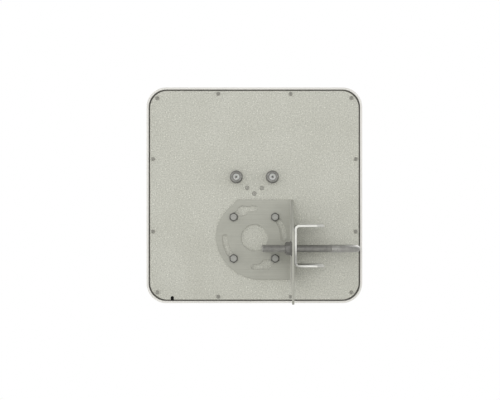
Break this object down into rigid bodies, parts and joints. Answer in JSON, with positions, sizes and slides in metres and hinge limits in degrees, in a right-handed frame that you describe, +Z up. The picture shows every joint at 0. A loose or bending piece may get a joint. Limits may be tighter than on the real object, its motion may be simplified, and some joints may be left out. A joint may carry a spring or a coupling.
{
  "type": "outdoor bridge panel antenna",
  "caption": "Flat square panel antenna with two round coaxial jacks behind, on a tilting slotted angle bracket with a V saddle and U-bolt pole clamp.",
  "frame": {"origin": "on the axis of the pole that the clamp holds, level with the U-bolt", "axes": "+Z up along the pole's axis, +Y the way the antenna faces, +X to the right seen from behind the antenna"},
  "size_m": [0.305, 0.139, 0.305],
  "materials": {
    "radome_plastic": "satin",
    "gasket_rubber": "matte",
    "plate_metal": "satin",
    "bracket_steel": "satin",
    "saddle_steel": "satin",
    "galvanised_steel": "satin",
    "bolt_steel": "satin",
    "screw_steel": "satin",
    "nickel": "satin",
    "ptfe": "satin",
    "contact_plating": "polished",
    "circuit_board": "satin",
    "patch_board": "satin",
    "nylon": "satin",
    "foam": "matte"
  },
  "bodies": {
    "clamp": {"saddle": "saddle_steel"},
    "bracket": {"l_bracket": "bracket_steel"},
    "antenna": {"radome": "radome_plastic", "gasket": "gasket_rubber", "back_plate": "plate_metal", "cover_screw_1": "screw_steel", "cover_screw_2": "screw_steel", "cover_screw_3": "screw_steel", "cover_screw_4": "screw_steel", "cover_screw_5": "screw_steel", "cover_screw_6": "screw_steel", "cover_screw_7": "screw_steel", "cover_screw_8": "screw_steel", "cover_screw_9": "screw_steel", "cover_screw_10": "screw_steel", "cover_screw_11": "screw_steel", "cover_screw_12": "screw_steel", "feed_board": "circuit_board", "foam_sheet": "foam", "patch_board": "patch_board", "board_screw_1": "screw_steel", "board_screw_2": "screw_steel", "board_screw_3": "screw_steel", "board_spacer_1": "nylon", "board_spacer_2": "nylon", "board_spacer_3": "nylon", "board_nut_1": "screw_steel", "board_nut_2": "screw_steel", "board_nut_3": "screw_steel", "bracket_bolt_1": "bolt_steel", "bracket_bolt_2": "bolt_steel", "bracket_bolt_3": "bolt_steel", "bracket_bolt_4": "bolt_steel", "lock_washer_1": "bolt_steel", "lock_washer_2": "bolt_steel", "lock_washer_3": "bolt_steel", "lock_washer_4": "bolt_steel", "clinch_nut_1": "screw_steel", "clinch_nut_2": "screw_steel", "clinch_nut_3": "screw_steel", "clinch_nut_4": "screw_steel", "n_jack_shell_left": "nickel", "n_jack_insulator_left": "ptfe", "n_jack_contact_left": "contact_plating", "n_jack_seal_left": "gasket_rubber", "n_jack_nut_left": "nickel", "n_jack_shell_right": "nickel", "n_jack_insulator_right": "ptfe", "n_jack_contact_right": "contact_plating", "n_jack_seal_right": "gasket_rubber", "n_jack_nut_right": "nickel"},
    "u_bolt": {"u_bolt": "galvanised_steel"},
    "near_nut": {"flange_nut_near": "galvanised_steel"},
    "far_nut": {"flange_nut_far": "galvanised_steel"}
  },
  "joints": [
    {"name": "elevation_tilt", "type": "hinge", "parent": "clamp", "child": "bracket", "pos_m": [-0.0564, 0.03256, 0], "axis": [1, 0, 0], "range_deg": [-25, 15]},
    {"name": "polarisation_turn", "type": "hinge", "parent": "bracket", "child": "antenna", "pos_m": [-0.1094, 0.066, 0.014], "axis": [0, 1, 0], "range_deg": [0, 45]},
    {"name": "u_bolt_slide", "type": "slide", "parent": "clamp", "child": "u_bolt", "axis": [1, 0, 0], "range_m": [0, 0.01269]},
    {"name": "near_nut_turn", "type": "hinge", "parent": "clamp", "child": "near_nut", "pos_m": [-0.0582, -0.03256, 0], "axis": [-1, 0, 0], "range_deg": [0, 2880]},
    {"name": "far_nut_turn", "type": "hinge", "parent": "clamp", "child": "far_nut", "pos_m": [-0.0582, 0.03256, 0], "axis": [-1, 0, 0], "range_deg": [0, 2880]}
  ],
  "couplings": [
    {"joint": "near_nut_turn", "follows": "u_bolt_slide", "rad_per_m": 3957.9},
    {"joint": "far_nut_turn", "follows": "u_bolt_slide", "rad_per_m": 3957.9}
  ]
}
